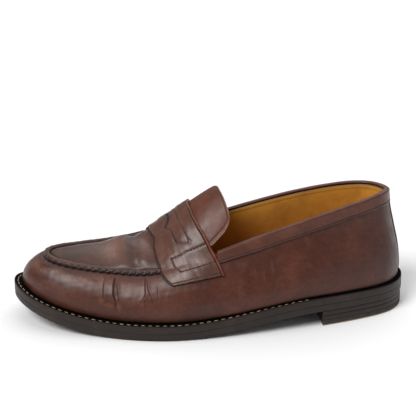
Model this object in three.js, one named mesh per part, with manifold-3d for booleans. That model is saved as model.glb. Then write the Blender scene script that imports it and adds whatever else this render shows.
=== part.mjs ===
// A left penny loafer with a welted leather sole, in millimetres.
// Toe towards -X, heel towards +X, outer side towards -Y, up is +Z, and the heel and the ball stand on z = 0.
// Around the shoe, u runs from the back of the heel (0) along the outer side to the toe (0.5) and back.
import * as THREE from "three";
import { mergeVertices } from "three/addons/utils/BufferGeometryUtils.js";
import Module from "manifold-3d";

const wasm = await Module();
wasm.setup();

// Overall sizes
const length = 290;
const width = 110;
const gap = 0.35; // air between pieces that lie on each other

// Sole and heel
const outsoleThickness = 5;
const weltThickness = 5.5;
const weltWidth = 13;
const weltLedge = 6.6; // how far the upper stands in from the welt's edge at the forefoot
const heelLedge = 3; // and at the heel
const toeSpring = 16.4;
const toeSpringPower = 1.9;
const heelHeight = 11.3;
const topPieceThickness = 3.6;
const heelLifts = 2;
const heelEdge = 0.5; // the heel block's inset from the sole's edge
const ballFront = -62;
const ballBack = -38;
const breast = 76.5;
const nailRadius = 1;
const nailHeadRadius = 1.6;
const nailHeadHeight = 1;
const nailInset = 12;
const nailPlaces = [0.03, 0.15, 0.85, 0.97];

// Upper, from its outer face inwards
const wallThickness = 1.6;
const stiffenerThickness = 1.2;
const liningThickness = 1;
const marginWidth = 10; // the upper's turned-in edge under the insole
const bandThickness = 1.1; // collar strip and back strip
const collarWidth = 8.5;
const backStripWidth = 13;
const strapThickness = 1.8;
const insoleThickness = 3;
const sockThickness = 1.1;
const ribThickness = 2;
const shankWidth = 14;
const shankThickness = 1.6;
const rollWidth = 3.6; // raised seam round the apron
const rollHeight = 3.4;
const beadWidth = 4.2; // folded topline edge
const beadHeight = 1.8;
const threadWidth = 0.8;
const bedClearance = 3.2; // between the insole's edge and the lining

// Shape of the last: sixteen stations round the shoe, from the back of the heel by the outer side
const planX = [
  1.01, 0.92, 0.76, 0.49, 0.08, -0.3, -0.57, -0.91,
  -1.06, -0.96, -0.67, -0.37, -0.04, 0.34, 0.7, 0.91,
];
const planY = [
  0.05, -0.43, -0.61, -0.81, -0.97, -1.02, -0.78, -0.47,
  0.17, 0.7, 0.97, 0.98, 0.7, 0.56, 0.66, 0.54,
];
const rimInset = [12.7, 12.4, 11, 14, 19.5, 23.5, 25, 24, 23, 22, 22, 21.5, 16.7, 10.7, 10.2, 12.4];
const drawnRoundness = 41.7; // the width squared over the length that rimInset is drawn for
const rimHeight = [87, 90, 87, 78.3, 62, 41, 40, 43.5, 45, 47, 44.5, 47, 63.5, 80.5, 86.5, 87];
// Places along the ridge over the instep, from the toe to the tongue's tip, and its height there
const ridge = [
  [-125, 47.5], [-105, 49.5], [-90, 51], [-75, 52.3], [-60, 53.5],
  [-40, 60], [-15, 81.5], [5, 95.5], [30, 108.5],
];
const crownPower = 2.3; // how square the instep's arch is

// Places along the upper, as u on the outer side
const strapFrontLow = 0.305;
const strapFrontTop = 0.3185;
const strapBackLow = 0.2605;
const strapBackTop = 0.2735;
const strapFoot = 0.6; // how far up the wall the strap's ends lie
const strapLift = 1.1; // the strap rides over the apron's seam
const apronBack = 0.292;
const tongueTip = 0.2485;

const leather = { brown: 0x53312a, strap: 0x68483f, apron: 0x4e3830, roll: 0x6f4a3d, collar: 0x7c4e36 };

// Common facet lines, so that pieces that lie on each other bend at the same places
const steps = 56;
const aroundLines = Array.from({ length: 3 * steps }, (_, i) => i / steps - 1);
const upLines = [0.1, 0.2, 0.35, 0.5, 0.65, 0.8, 0.9];
const lengthLines = [...Array.from({ length: 23 }, (_, i) => -132 + 12 * i), ballFront, ballBack, breast];
lengthLines.sort((a, b) => a - b);

// ---------- the last's surfaces ----------

const smooth = (t) => THREE.MathUtils.smoothstep(t, 0, 1);

// A closed uniform cubic B-spline through a row of stations.
function station(row, u) {
  const t = (((u % 1) + 1) % 1) * row.length;
  const i = Math.floor(t);
  const f = t - i;
  const at = (k) => row[(i + k + row.length) % row.length];
  const a = (1 - f) ** 3;
  const b = 3 * f ** 3 - 6 * f ** 2 + 4;
  const c = -3 * f ** 3 + 3 * f ** 2 + 3 * f + 1;
  return (a * at(-1) + b * at(0) + c * at(1) + f ** 3 * at(2)) / 6;
}

const rawPlan = (u) => new THREE.Vector2(station(planX, u), station(planY, u));
const planBox = new THREE.Box2().setFromPoints(Array.from({ length: 720 }, (_, i) => rawPlan(i / 720)));
const planCentre = planBox.getCenter(new THREE.Vector2());
const planScale = new THREE.Vector2(length, width).divide(planBox.getSize(new THREE.Vector2()));
const outline = (u) => rawPlan(u).sub(planCentre).multiply(planScale);

// A point of the sole's outline moved inwards.
function plan(u, inset) {
  const along = outline(u + 1e-3).sub(outline(u - 1e-3)).normalize();
  return outline(u).add(new THREE.Vector2(along.y, -along.x).multiplyScalar(inset));
}

function soleBottom(x) {
  const toe = Math.max(0, (ballFront - x) / (ballFront + length / 2));
  return toeSpring * toe ** toeSpringPower + heelHeight * smooth((x - ballBack) / (breast - ballBack));
}

const soleThickness = outsoleThickness + gap + weltThickness;
const forefoot = (x) => smooth((40 - x) / 80);

// A point of the outline, inset, at a height over the sole's underside.
function over(u, inset, height) {
  const p = plan(u, inset);
  return new THREE.Vector3(p.x, p.y, soleBottom(p.x) + height);
}

const footInset = (u) => THREE.MathUtils.lerp(heelLedge, weltLedge, forefoot(outline(u).x));

// A sharper toe than the rim is drawn for brings the rim's front nearer to the outline.
const toeRoundness = width ** 2 / length;
const rimScale = Math.min(1, (toeRoundness / drawnRoundness) ** 0.75);
const rimInsets = rimInset.map((inset, i) => (i >= 4 && i <= 12 ? inset * rimScale : inset));

function rim(u, inwards = 0) {
  const p = plan(u, station(rimInsets, u) + inwards);
  return new THREE.Vector3(p.x, p.y, station(rimHeight, u));
}

// The upper's side: v = 0 at the welt, v = 1 at the rim.
function side(u, v) {
  const low = footInset(u);
  const high = station(rimInsets, u);
  const foot = soleBottom(plan(u, low).x) + soleThickness + gap;
  const rise = station(rimHeight, u) - foot;
  const lean = forefoot(outline(u).x);
  const insets = [low, low - 1.5 - lean, high - (0.15 + 0.4 * lean) * (high - low), high];
  const heights = [0, 0.38 + 0.12 * lean, 0.62 + 0.26 * lean, 1];
  const w = [(1 - v) ** 3, 3 * v * (1 - v) ** 2, 3 * v * v * (1 - v), v ** 3];
  const mix = (values) => values.reduce((sum, value, i) => sum + value * w[i], 0);
  const p = plan(u, mix(insets));
  return new THREE.Vector3(p.x, p.y, foot + rise * mix(heights));
}

// The top of the shoe between its two rims: w = 0 at the outer side, w = 1 at the inner side.
function top(u, w, inwards = 0) {
  const a = rim(u, inwards);
  const b = rim(1 - u, inwards);
  const x = (a.x + b.x) / 2;
  const k = Math.max(1, ridge.findIndex((p) => p[0] > x));
  const [low, high] = x > ridge.at(-1)[0] ? ridge.slice(-2) : [ridge[k - 1], ridge[k]];
  const peak = THREE.MathUtils.mapLinear(x, low[0], high[0], low[1], high[1]);
  const crown = Math.max(0, peak - (a.z + b.z) / 2) * smooth(a.distanceTo(b) / 30);
  const p = a.lerp(b, w);
  p.z += crown * (1 - Math.abs(2 * w - 1) ** crownPower);
  return p;
}

// A surface point moved along the surface's normal, outwards when the distance is positive.
function lifted(surface, a, b, distance) {
  const e = 2e-3;
  const da = surface(a + e, b).sub(surface(a - e, b));
  const db = surface(a, b + e).sub(surface(a, b - e));
  return surface(a, b).addScaledVector(db.cross(da).normalize(), distance);
}

// ---------- solids ----------

// A closed solid through a row of sections, each a ring of an even number of points. A round one has
// no ends.
function loft(sections, round = false) {
  const rings = round ? [...sections, sections[0]] : sections;
  const corners = [];
  const quad = (a, b, c, d) => corners.push(a, b, c, a, c, d);
  rings.slice(1).forEach((next, s) =>
    next.forEach((_, i) => {
      const j = (i + 1) % next.length;
      quad(rings[s][i], rings[s][j], next[j], next[i]);
    }),
  );
  if (!round) {
    const [first, last] = [rings[0], rings.at(-1)];
    for (let i = 0, j = first.length - 1; i < j - 1; i++, j--) {
      quad(first[i], first[j], first[j - 1], first[i + 1]);
      quad(last[i], last[i + 1], last[j - 1], last[j]);
    }
  }
  return closed(corners);
}

// Triangles from a list of corners, without the ones that shrink to a line, turned to face out.
function closed(corners) {
  const raw = new THREE.BufferGeometry().setFromPoints(corners);
  const merged = mergeVertices(raw, 1e-3);
  const index = [];
  let volume = 0;
  const at = (i) => new THREE.Vector3().fromBufferAttribute(merged.attributes.position, i);
  for (let i = 0; i < merged.index.count; i += 3) {
    const [a, b, c] = merged.index.array.slice(i, i + 3);
    if (a === b || b === c || c === a) continue;
    index.push([a, b, c]);
    volume += at(a).dot(at(b).cross(at(c)));
  }
  merged.setIndex(index.map(([a, b, c]) => (volume < 0 ? [a, c, b] : [a, b, c])).flat());
  return merged;
}

function solidOf(geometry) {
  const bare = geometry.clone();
  bare.deleteAttribute("normal");
  bare.deleteAttribute("uv");
  const merged = mergeVertices(bare, 1e-3);
  const mesh = { numProp: 3, vertProperties: merged.attributes.position.array };
  mesh.triVerts = new Uint32Array(merged.index.array);
  return new wasm.Manifold(new wasm.Mesh(mesh));
}

function cut(geometry, tools) {
  const rest = tools.reduce((body, tool) => body.subtract(solidOf(tool)), solidOf(geometry)).getMesh();
  return new THREE.BufferGeometry()
    .setAttribute("position", new THREE.BufferAttribute(new Float32Array(rest.vertProperties), 3))
    .setIndex(new THREE.BufferAttribute(new Uint32Array(rest.triVerts), 1));
}

function range(from, to, count) {
  return Array.from({ length: count + 1 }, (_, i) => from + ((to - from) * i) / count);
}

// The common lines between two places, and the two places themselves.
function between(lines, from, to, apart) {
  const [low, high] = [Math.min(from, to), Math.max(from, to)];
  const all = [low, ...lines.filter((t) => t > low + apart && t < high - apart), high];
  return from < to ? all : all.reverse();
}
const around = (from, to) => between(aroundLines, from, to, 0.25 / steps);

// The two sides of an inset outline at one place along the shoe, found by halving.
function bothSides(inset, x) {
  const insetX = (u) => plan(u, inset(u)).x;
  return [[0, 0.5], [1, 0.5]].map(([back, toe]) => {
    let [behind, ahead] = [back, toe];
    for (let i = 0; i < 40; i++) {
      const middle = (behind + ahead) / 2;
      if (insetX(middle) > x) behind = middle;
      else ahead = middle;
    }
    return plan(ahead, inset(ahead)).setX(x);
  });
}

// A plate with the outline's shape, inset, between two heights that follow the length.
function plate(inset, low, high, from = -length / 2, to = length / 2) {
  const ends = range(0, 1, 720).map((u) => plan(u, inset(u)).x);
  const [toe, heel] = [Math.max(from, Math.min(...ends) + 0.01), Math.min(to, Math.max(...ends) - 0.01)];
  const tip = [0.4, 1.8, 4.5, 8];
  const lines = lengthLines.filter((x) => x > toe + 10 && x < heel - 10);
  if (toe > from) lines.push(...tip.map((d) => toe + d));
  if (heel < to) lines.push(...tip.map((d) => heel - d));
  const rows = [toe, ...lines.sort((a, b) => a - b), heel].map((x) => {
    const [a, b] = bothSides(inset, x);
    return [[a, low], [b, low], [b, high], [a, high]].map(([p, z]) => new THREE.Vector3(x, p.y, z(x)));
  });
  return loft(rows);
}
const above = (height) => (x) => soleBottom(x) + height;
const flat = (height) => () => height;

// A strip of rectangular section that follows the outline.
function strip(from, to, outer, inner, low, high) {
  const rows = around(from, to).map((u) => {
    const [o, i] = [outer(u), inner(u)];
    return [over(u, o, low), over(u, i, low), over(u, i, high), over(u, o, high)];
  });
  return loft(rows);
}

// A shell on the upper's side between two depths under its outer face.
function sideShell(from, to, outer, inner, low, high) {
  const places = around(from, to);
  const lowest = Math.max(0.15, ...places.map((u) => low(u) + 0.02));
  const rows = places.map((u) => {
    const levels = between(upLines.filter((v) => v > lowest), low(u), high, 0.02);
    return [
      ...levels.map((v) => lifted(side, u, v, -outer)),
      ...levels.map((v) => lifted(side, u, v, -inner)).reverse(),
    ];
  });
  return loft(rows);
}

// A shell on the top of the shoe, from one u to another, between two depths. At the toe's tip the two
// rims meet, so from tipStart on it is measured straight down.
const tipStart = 0.475;
function topShell(from, to, inwards, outer, inner, spread) {
  const surface = (u, w) => top(u, w, inwards);
  const rows = around(from, to).map((u, i, all) => {
    const half = spread(i / (all.length - 1));
    const across = range(0.5 - half, 0.5 + half, 10);
    const down = (w, depth) => surface(u, w).sub(new THREE.Vector3(0, 0, depth));
    const shift = (w, depth) => (u > tipStart ? down(w, depth) : lifted(surface, u, w, -depth));
    return [...across.map((w) => shift(w, outer)), ...across.map((w) => shift(w, inner)).reverse()];
  });
  return loft(rows);
}

// A bead of rounded section along a path of points with its own up direction.
function bead(path, halfWidth, halfHeight, sides = 8) {
  const rows = path.map(({ at, out, up }) =>
    range(0, 2 * Math.PI, sides).slice(0, sides).map((angle) =>
      at.clone()
        .addScaledVector(out, halfWidth * Math.cos(angle))
        .addScaledVector(up, halfHeight * Math.sin(angle)),
    ),
  );
  return loft(rows);
}

// ---------- the assembly ----------

const shoe = new THREE.Group();

function add(name, geometry, color, roughness = 0.6, metalness = 0) {
  const mesh = new THREE.Mesh(geometry, new THREE.MeshStandardMaterial({ color, roughness, metalness }));
  mesh.name = name;
  shoe.add(mesh);
}

// Where the outline crosses the heel breast, as u on each side.
function crossing(back, toe, x) {
  let [behind, ahead] = [back, toe];
  for (let i = 0; i < 40; i++) {
    const middle = (behind + ahead) / 2;
    if (outline(middle).x > x) behind = middle;
    else ahead = middle;
  }
  return ahead;
}
const breastOuter = crossing(0.05, 0.4, breast);
const breastInner = crossing(0.95, 0.6, breast);

// Sole: outsole, welt round the forefoot, rand round the heel.
const weltBottom = outsoleThickness + gap;
const edge = () => 0;
const weltInner = () => weltWidth;
const jointGap = 0.0008; // between welt and rand, as a share of the way round
add("outsole", plate(edge, above(0), above(outsoleThickness)), 0x3a2f2b, 0.55);
add(
  "welt",
  strip(breastOuter + jointGap, breastInner - jointGap, edge, weltInner, weltBottom, soleThickness),
  0x44352f,
);
add(
  "heel_rand",
  strip(breastInner - 1 + jointGap, breastOuter - jointGap, edge, weltInner, weltBottom, soleThickness),
  0x3d302b,
);

// Heel: flat lifts and a rubber top piece, cut square at the breast, on nails from below.
const heelPlate = (low, high) => plate(() => heelEdge, flat(low), flat(high), breast);
const nails = nailPlaces.map((u) => plan(u, nailInset));
nails.push(new THREE.Vector2(breast + nailInset, (nails[1].y + nails[2].y) / 2));
const nailLength = heelHeight - gap;
function nail(at, clearance) {
  const [shank, head] = [nailRadius + clearance, nailHeadRadius + clearance];
  const neck = nailHeadHeight + clearance;
  const below = clearance ? 1 : 0;
  const tip = nailLength + below;
  const profile = [[0, -below], [head, -below], [head, neck], [shank, neck], [shank, tip], [0, tip]];
  const body = new THREE.LatheGeometry(profile.map(([r, z]) => new THREE.Vector2(r, z)), 12);
  return body.rotateX(Math.PI / 2).translate(at.x, at.y, 0);
}
const nailHoles = nails.map((at) => nail(at, gap));
const liftSpace = (heelHeight - gap - topPieceThickness) / heelLifts;
add("heel_top_piece", cut(heelPlate(0, topPieceThickness), nailHoles), 0x1f1c1b, 0.85);
for (let i = 0; i < heelLifts; i++) {
  const low = topPieceThickness + gap + i * liftSpace;
  add("heel_lift_" + (i + 1), cut(heelPlate(low, low + liftSpace - gap), nailHoles), 0x382f2a, 0.55);
}
nails.forEach((at, i) => add("heel_nail_" + (i + 1), nail(at, 0), 0xb08d57, 0.35, 1));

// Foot bed: filler, rib and shank under the insole, the sock on it.
const marginTop = soleThickness + gap + wallThickness;
const bedBottom = marginTop + gap;
const marginEnd = (u) => footInset(u) + marginWidth + wallThickness;
const ribOuter = (u) => marginEnd(u) + gap;
const ribInner = (u) => ribOuter(u) + ribThickness;
const ribFrom = 0.2;
add(
  "insole_rib",
  strip(ribFrom, 1 - ribFrom, ribOuter, ribInner, soleThickness + gap, bedBottom - gap),
  0xc9b48a,
  0.9,
);
const fillerInset = weltLedge + marginWidth + wallThickness + ribThickness + 2 * gap;
const filling = () => fillerInset;
const fillerBack = -8;
const shankBottom = bedBottom - gap - shankThickness;
add(
  "cork_filler",
  plate(filling, above(weltBottom), above(bedBottom - gap), -length / 2, fillerBack),
  0xa57d4f,
  0.95,
);
add(
  "shank_board",
  plate(filling, above(weltBottom), above(shankBottom - gap), fillerBack + gap),
  0xb59a6c,
  0.9,
);
const shankFront = fillerBack + 2;
const shankBack = 104;
function shank() {
  const [outer, inner] = bothSides(filling, shankBack);
  const middle = (outer.y + inner.y) / 2;
  const rows = between(lengthLines, shankFront, shankBack, 3).map((x) =>
    [[-1, shankBottom], [1, shankBottom], [1, bedBottom - gap], [-1, bedBottom - gap]].map(
      ([side, height]) => new THREE.Vector3(x, middle + (side * shankWidth) / 2, soleBottom(x) + height),
    ),
  );
  return loft(rows);
}
add("shank", shank(), 0x8d9094, 0.35, 1);
const liningDepth = wallThickness + stiffenerThickness + 2 * gap;
const bedInset = (u) => footInset(u) + liningDepth + liningThickness + bedClearance;
const insoleTop = bedBottom + insoleThickness;
const sockBottom = insoleTop + gap;
add("insole", plate(bedInset, above(bedBottom), above(insoleTop)), 0xc8a878, 0.8);
add("sock_liner", plate(bedInset, above(sockBottom), above(sockBottom + sockThickness)), 0x8a5a26, 0.55);

// Upper: one wall all round with its margin turned in under the insole.
function wall() {
  const levels = between(upLines, 0, 1, 0.02);
  const rows = range(0, 1, steps).slice(0, steps).map((u) => {
    const outer = levels.map((v) => lifted(side, u, v, 0));
    const inner = levels.slice(1).map((v) => lifted(side, u, v, -wallThickness));
    const bend = over(u, footInset(u) + wallThickness, marginTop);
    const end = [over(u, marginEnd(u), marginTop), over(u, marginEnd(u), soleThickness + gap)];
    return [...outer, ...inner.reverse(), bend, ...end];
  });
  return loft(rows, true);
}
add("upper_wall", wall(), leather.brown, 0.45);

const rise = (u) => station(rimHeight, u) - soleBottom(outline(u).x) - soleThickness;
const innerFoot = (u) => (wallThickness + 2 * gap) / (0.85 * rise(u)) + 0.02;
const fullTop = 0.985;
const stiffenerIn = wallThickness + gap + stiffenerThickness;
const stiffenerOut = wallThickness + gap;
add(
  "heel_counter",
  sideShell(-0.165, 0.165, stiffenerOut, stiffenerIn, innerFoot, 0.72),
  0xb8a27c,
  0.9,
);
add("toe_puff", sideShell(0.4, 0.6, stiffenerOut, stiffenerIn, innerFoot, 0.93), 0xb8a27c, 0.9);
add("side_liner_outer", sideShell(0.168, 0.397, stiffenerOut, stiffenerIn, innerFoot, 0.86), 0xcab48c, 0.9);
add("side_liner_inner", sideShell(0.603, 0.832, stiffenerOut, stiffenerIn, innerFoot, 0.86), 0xcab48c, 0.9);
const liningEdge = 0.285;
const liningIn = liningDepth + liningThickness;
add(
  "quarter_lining",
  sideShell(-liningEdge, liningEdge, liningDepth, liningIn, innerFoot, fullTop),
  0x86521e,
  0.6,
);
add(
  "vamp_lining",
  sideShell(liningEdge + 0.003, 0.997 - liningEdge, liningDepth, liningIn, innerFoot, fullTop),
  0x86521e,
  0.6,
);

// Apron with its raised seam, and the tongue that runs on from it under the strap.
const apronRim = rollWidth + 3 * gap;
const apronDepth = 0.2;
const whole = () => 0.5;
const apronFront = 0.4999; // all but the toe's tip, where the two rims meet
add(
  "apron",
  topShell(apronFront, apronBack, apronRim, apronDepth, apronDepth + wallThickness, whole),
  leather.apron,
  0.4,
);
const tongueFront = apronBack - 0.0004; // just behind the apron's back edge
const tongueShape = (t) => 0.42 * Math.sqrt(1 - 0.35 * t ** 6);
add(
  "tongue",
  topShell(tongueFront, tongueTip, 0, apronDepth, apronDepth + wallThickness, tongueShape),
  0x6a4a3c,
  0.45,
);
const underDepth = apronDepth + wallThickness + 2 * gap;
const underEnd = underDepth + liningThickness;
const liningShape = (t) => 0.41 * Math.sqrt(1 - 0.35 * t ** 6);
const liningFront = 26 / steps;
add(
  "apron_lining",
  topShell(liningFront, apronBack, apronRim, underDepth, underEnd, whole),
  0x4a3a1c,
  0.7,
);
add(
  "tongue_lining",
  topShell(tongueFront, tongueTip + 0.003, 0, underDepth, underEnd, liningShape),
  0x4a3a1c,
  0.7,
);

function seamPath(from, to, inwards, rise) {
  return around(from, to).map((u) => {
    const at = rim(u, inwards).add(new THREE.Vector3(0, 0, rise));
    const away = outline(u).sub(plan(u, 1));
    return { at, out: new THREE.Vector3(away.x, away.y, 0), up: new THREE.Vector3(0, 0, 1) };
  });
}
const rollEnd = strapFrontTop + 0.003;
const rollInset = 0.6 * rollWidth;
const rollRise = 0.34 * rollHeight;
add(
  "apron_roll",
  bead(seamPath(rollEnd, 1 - rollEnd, rollInset, rollRise), rollWidth / 2, rollHeight / 2),
  leather.roll,
  0.4,
);

// Strap: over the instep from one side wall to the other.
function instep(u, q) {
  const flank = 0.24;
  if (q < flank) return side(u, strapFoot + ((1 - strapFoot) * q) / flank);
  if (q > 1 - flank) return side(1 - u, strapFoot + ((1 - strapFoot) * (1 - q)) / flank);
  return top(u, (q - flank) / (1 - 2 * flank));
}
function strap() {
  const outwards = (u, q) => {
    const e = 0.03;
    const along = instep(u + e, q).sub(instep(u - e, q));
    const across = instep(u, q + e).sub(instep(u, q - e));
    return across.cross(along).normalize();
  };
  const rows = range(0.001, 0.999, 26).map((q) => {
    const highness = 1 - Math.abs(2 * q - 1);
    const front = THREE.MathUtils.lerp(strapFrontLow, strapFrontTop, smooth(highness / 0.6));
    const back = THREE.MathUtils.lerp(strapBackLow, strapBackTop, highness);
    const places = range(front, back, 4);
    const shift = (u, distance) => instep(u, q).addScaledVector(outwards(u, q), distance);
    return [
      ...places.map((u) => shift(u, strapLift)),
      ...places.map((u) => shift(u, strapLift + strapThickness)).reverse(),
    ];
  });
  return loft(rows);
}
add("saddle_strap", strap(), leather.strap, 0.4);

// Collar: a strip along the topline outside, the folded edge on top, and the strip down the back.
const toplineEnd = strapBackLow + 0.002;
const collarFoot = (u) => 1 - collarWidth / rise(u);
add(
  "collar_strip",
  sideShell(-toplineEnd, toplineEnd, -2 * gap - bandThickness, -2 * gap, collarFoot, fullTop),
  leather.collar,
  0.45,
);
add(
  "topline_fold",
  bead(seamPath(-toplineEnd, toplineEnd, wallThickness, beadHeight / 2 + gap), beadWidth / 2, beadHeight / 2),
  leather.collar,
  0.45,
);
const backStripHalf = backStripWidth / 2 / (2 * (length + width));
function backStrip() {
  const rows = range(-backStripHalf, backStripHalf, 4).map((u) => {
    const levels = range(0.03, collarFoot(0) - 0.01, 8);
    return [
      ...levels.map((v) => lifted(side, u, v, gap + bandThickness)),
      ...levels.map((v) => lifted(side, u, v, gap)).reverse(),
    ];
  });
  return loft(rows);
}
add("back_strip", backStrip(), leather.brown, 0.45);

// Thread: the seam on the welt.
const threadInset = (u) => 0.45 * footInset(u);
function threadPath(from, to, height) {
  return around(from, to).map((u) => {
    const away = outline(u).sub(plan(u, 1));
    const up = new THREE.Vector3(0, 0, 1);
    return { at: over(u, threadInset(u), height), out: new THREE.Vector3(away.x, away.y, 0), up };
  });
}
add(
  "welt_thread",
  bead(
    threadPath(breastOuter + 0.01, breastInner - 0.01, soleThickness + gap + threadWidth / 2),
    threadWidth / 2,
    threadWidth / 2,
    6,
  ),
  0xb9ad97,
  0.8,
);

export default shoe;
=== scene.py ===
import math

import bpy
import numpy as np
from mathutils import Matrix, Vector


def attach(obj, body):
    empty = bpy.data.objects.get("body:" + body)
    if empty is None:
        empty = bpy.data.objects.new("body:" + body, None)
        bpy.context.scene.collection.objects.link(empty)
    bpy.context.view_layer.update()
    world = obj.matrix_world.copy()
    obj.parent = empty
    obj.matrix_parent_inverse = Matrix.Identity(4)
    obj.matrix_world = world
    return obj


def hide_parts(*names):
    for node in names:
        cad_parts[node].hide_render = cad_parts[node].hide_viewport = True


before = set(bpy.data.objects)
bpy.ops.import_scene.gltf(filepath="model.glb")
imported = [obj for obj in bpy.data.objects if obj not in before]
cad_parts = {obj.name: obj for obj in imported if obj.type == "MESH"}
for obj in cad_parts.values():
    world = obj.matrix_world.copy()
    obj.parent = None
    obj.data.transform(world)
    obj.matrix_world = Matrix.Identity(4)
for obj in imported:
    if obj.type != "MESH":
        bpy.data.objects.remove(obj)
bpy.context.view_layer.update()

# ---------- sizes, in millimetres, as in the CAD model ----------
LENGTH, WIDTH = 290.0, 110.0
GAP = 0.35
OUTSOLE, WELT, WELT_WIDTH = 5.0, 5.5, 13.0
SOLE = OUTSOLE + GAP + WELT
WELT_LEDGE, HEEL_LEDGE = 6.6, 3.0
TOE_SPRING, SPRING_POWER = 16.4, 1.9
HEEL, TOP_PIECE = 11.3, 3.6
BALL_FRONT, BALL_BACK, BREAST = -62.0, -38.0, 76.5
WALL, STIFFENER, LINING = 1.6, 1.2, 1.0
INSOLE, SOCK = 3.0, 1.1
COLLAR = 8.5

# Sixteen stations round the last, from the back of the heel by the outer side
PLAN_X = [1.01, 0.92, 0.76, 0.49, 0.08, -0.3, -0.57, -0.91,
          -1.06, -0.96, -0.67, -0.37, -0.04, 0.34, 0.7, 0.91]
PLAN_Y = [0.05, -0.43, -0.61, -0.81, -0.97, -1.02, -0.78, -0.47,
          0.17, 0.7, 0.97, 0.98, 0.7, 0.56, 0.66, 0.54]
RIM_INSET = [12.7, 12.4, 11, 14, 19.5, 23.5, 25, 24, 23, 22, 22, 21.5, 16.7, 10.7, 10.2, 12.4]
RIM_HEIGHT = [87, 90, 87, 78.3, 62, 41, 40, 43.5, 45, 47, 44.5, 47, 63.5, 80.5, 86.5, 87]
# The ridge over the instep with its worn folds: place along the shoe, height
RIDGE = [(-125, 47.5), (-105, 49.3), (-90, 50.3), (-80, 50.6), (-72, 51.4), (-66, 53.6), (-60, 56.4),
         (-54, 55.6), (-48, 55.1), (-43, 59.2), (-38, 62.8), (-15, 81.5), (5, 95.5), (30, 108.5)]


# ---------- the last's surfaces ----------

def smooth(t):
    t = np.clip(t, 0.0, 1.0)
    return t * t * (3 - 2 * t)


def bump(t):
    return np.exp(-t * t)


def blurred(function, width, reach=2.0, softness=1.0):
    """The smooth average of function(shift) over shifts of up to reach widths each way."""
    steps = np.linspace(-reach, reach, 9)
    weights = bump(steps / softness)
    return sum(w * function(s * width) for s, w in zip(steps, weights)) / weights.sum()


def paired(a, b):
    """Two places as arrays of one shape."""
    return np.broadcast_arrays(np.asarray(a, float), np.asarray(b, float))


def grid(rows, cols):
    return np.meshgrid(rows, cols, indexing="ij")


def raised(p, z):
    """Places of the plan at their heights."""
    return np.concatenate([p, np.asarray(z)[..., None]], -1)


def strongest(*masks):
    """The largest of some masks at each point."""
    return np.maximum.reduce(np.broadcast_arrays(*masks))


def station(row, u):
    """A closed uniform cubic B-spline through a row of stations."""
    row = np.asarray(row, float)
    t = (np.asarray(u, float) % 1.0) * len(row)
    i = np.floor(t).astype(int)
    f = t - i
    weights = [(1 - f) ** 3, 3 * f**3 - 6 * f**2 + 4, -3 * f**3 + 3 * f**2 + 3 * f + 1, f**3]
    return sum(w * row[(i + k - 1) % len(row)] for k, w in enumerate(weights)) / 6


_round = np.arange(720) / 720
_raw = np.stack([station(PLAN_X, _round), station(PLAN_Y, _round)], -1)
PLAN_LOW, PLAN_HIGH = _raw.min(0), _raw.max(0)


def outline(u):
    p = np.stack([station(PLAN_X, u), station(PLAN_Y, u)], -1)
    return (p - (PLAN_LOW + PLAN_HIGH) / 2) * np.array([LENGTH, WIDTH]) / (PLAN_HIGH - PLAN_LOW)


def inward(u):
    a = outline(np.asarray(u) + 1e-3) - outline(np.asarray(u) - 1e-3)
    a /= np.linalg.norm(a, axis=-1, keepdims=True)
    return np.stack([a[..., 1], -a[..., 0]], -1)


def plan(u, inset):
    return outline(u) + inward(u) * np.asarray(inset)[..., None]


def sole_bottom(x):
    toe = np.clip((BALL_FRONT - x) / (BALL_FRONT + LENGTH / 2), 0, None)
    return TOE_SPRING * toe**SPRING_POWER + HEEL * smooth((x - BALL_BACK) / (BREAST - BALL_BACK))


def forefoot(x):
    return smooth((40 - x) / 80)


def over(u, inset, height):
    """A point of the outline, inset, at a height over the sole's underside."""
    p = plan(u, inset)
    return raised(p, sole_bottom(p[..., 0]) + height)


def foot_inset(u):
    return HEEL_LEDGE + (WELT_LEDGE - HEEL_LEDGE) * forefoot(outline(u)[..., 0])


def outwards(u, climb=0.0):
    """The ways that point out of the outline, climbing by a share."""
    return raised(-inward(u), np.full(len(u), climb))


def upright(u):
    return np.repeat([[0.0, 0.0, 1.0]], len(u), 0)


# The apron's end is rounder than the last's own stations make it: its two sides spread near the toe
SPREAD_OUTER, SPREAD_INNER = 6.5, 4.0
SPREAD_WAY = np.array([-0.104, -0.937, 0.334])


def spread(u):
    """How far the rim moves near the toe, so that the apron ends in a round."""
    t = np.asarray(u, float) % 1.0 - 0.5
    side_of = np.tanh(t / 0.028)
    size = np.where(t < 0, SPREAD_OUTER, SPREAD_INNER)
    fade = smooth((0.18 - np.abs(t)) / 0.15)
    return (-side_of * size * fade)[..., None] * SPREAD_WAY


def rim(u, inwards=0.0, lift=0.0):
    """The edge between the upper's side and its top, or a line beside it."""
    p = plan(u, station(RIM_INSET, u) + inwards)
    return raised(p, station(RIM_HEIGHT, u) + lift) + spread(u)


def side(u, v):
    """The upper's side: v = 0 at the welt, v = 1 at the rim."""
    u, v = paired(u, v)
    low, high = foot_inset(u), station(RIM_INSET, u)
    foot = sole_bottom(plan(u, low)[..., 0]) + SOLE + GAP
    climb = station(RIM_HEIGHT, u) - foot
    lean = forefoot(outline(u)[..., 0])
    insets = [low, low - 1.5 - lean, high - (0.15 + 0.4 * lean) * (high - low), high]
    heights = [0, 0.38 + 0.12 * lean, 0.62 + 0.26 * lean, 1]
    w = [(1 - v) ** 3, 3 * v * (1 - v) ** 2, 3 * v * v * (1 - v), v**3]
    p = plan(u, sum(a * b for a, b in zip(insets, w)))
    z = foot + climb * sum(a * b for a, b in zip(heights, w))
    return raised(p, z) + spread(u) * smooth(v)[..., None]


def peak(x):
    xs, zs = np.array(RIDGE, float).T
    beyond = zs[-1] + (x - xs[-1]) * (zs[-1] - zs[-2]) / (xs[-1] - xs[-2])
    return np.where(x > xs[-1], beyond, np.interp(x, xs, zs))


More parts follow.
